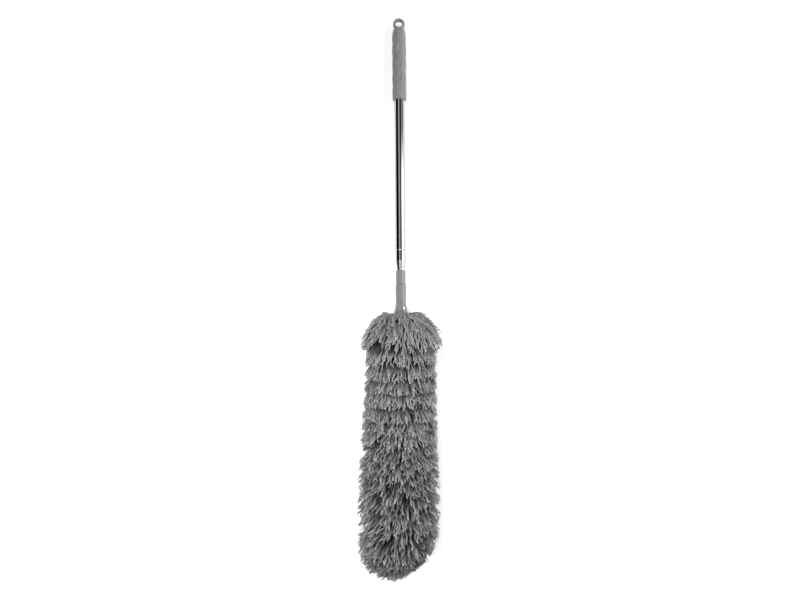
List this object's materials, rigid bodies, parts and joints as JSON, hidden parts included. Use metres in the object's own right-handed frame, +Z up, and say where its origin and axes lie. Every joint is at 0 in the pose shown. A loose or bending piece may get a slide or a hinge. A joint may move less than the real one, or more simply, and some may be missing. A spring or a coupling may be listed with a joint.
{
  "type": "extendable duster",
  "caption": "Telescopic steel pole with a waved grip and a hanging eye at one end and a long round head of wavy microfibre strands at the other.",
  "frame": {"origin": "middle of the lying duster's outline on the floor", "axes": "+Y along the duster towards the hanging eye, +X to the right in the picture, +Z up from the floor"},
  "size_m": [0.1168, 0.8428, 0.0871],
  "materials": {
    "grey_plastic": "satin",
    "soft_grip": "matte",
    "polished_steel": "polished",
    "bush_plastic": "satin",
    "core_plastic": "matte",
    "cuff_fabric": "matte",
    "microfibre": "matte"
  },
  "bodies": {
    "handle": {"hanging_cap": "grey_plastic", "grip_sleeve": "soft_grip", "pole_tube_1": "polished_steel"},
    "section_2": {"guide_bush_2": "bush_plastic", "pole_tube_2": "polished_steel"},
    "section_3": {"guide_bush_3": "bush_plastic", "pole_tube_3": "polished_steel"},
    "section_4": {"guide_bush_4": "bush_plastic", "pole_tube_4": "polished_steel"},
    "section_5": {"guide_bush_5": "bush_plastic", "pole_tube_5": "polished_steel"},
    "section_6": {"guide_bush_6": "bush_plastic", "pole_tube_6": "polished_steel", "tip_collar": "grey_plastic"},
    "head": {"neck_socket": "grey_plastic", "head_flare": "grey_plastic", "core_rod": "core_plastic", "core_cap": "core_plastic", "sleeve_cuff": "cuff_fabric", "pile_tier_01": "microfibre", "pile_tier_02": "microfibre", "pile_tier_03": "microfibre", "pile_tier_04": "microfibre", "pile_tier_05": "microfibre", "pile_tier_06": "microfibre", "pile_tier_07": "microfibre", "pile_tier_08": "microfibre", "pile_tier_09": "microfibre", "pile_tier_10": "microfibre", "pile_tier_11": "microfibre", "pile_tier_12": "microfibre", "pile_tier_13": "microfibre", "pile_tier_14": "microfibre", "pile_tier_15": "microfibre", "pile_tier_16": "microfibre", "pile_tip": "microfibre"}
  },
  "joints": [
    {"name": "section_2_slide", "type": "slide", "parent": "handle", "child": "section_2", "axis": [0, -0.9993, 0.0384], "range_m": [0, 0.308]},
    {"name": "section_3_slide", "type": "slide", "parent": "section_2", "child": "section_3", "axis": [0, -0.9993, 0.0384], "range_m": [0, 0.299]},
    {"name": "section_4_slide", "type": "slide", "parent": "section_3", "child": "section_4", "axis": [0, -0.9993, 0.0384], "range_m": [0, 0.29]},
    {"name": "section_5_slide", "type": "slide", "parent": "section_4", "child": "section_5", "axis": [0, -0.9993, 0.0384], "range_m": [0, 0.281]},
    {"name": "section_6_slide", "type": "slide", "parent": "section_5", "child": "section_6", "axis": [0, -0.9993, 0.0384], "range_m": [0, 0.271]},
    {"name": "head_release", "type": "slide", "parent": "section_6", "child": "head", "axis": [0, -0.9993, 0.0384], "range_m": [0, 0.024]}
  ]
}
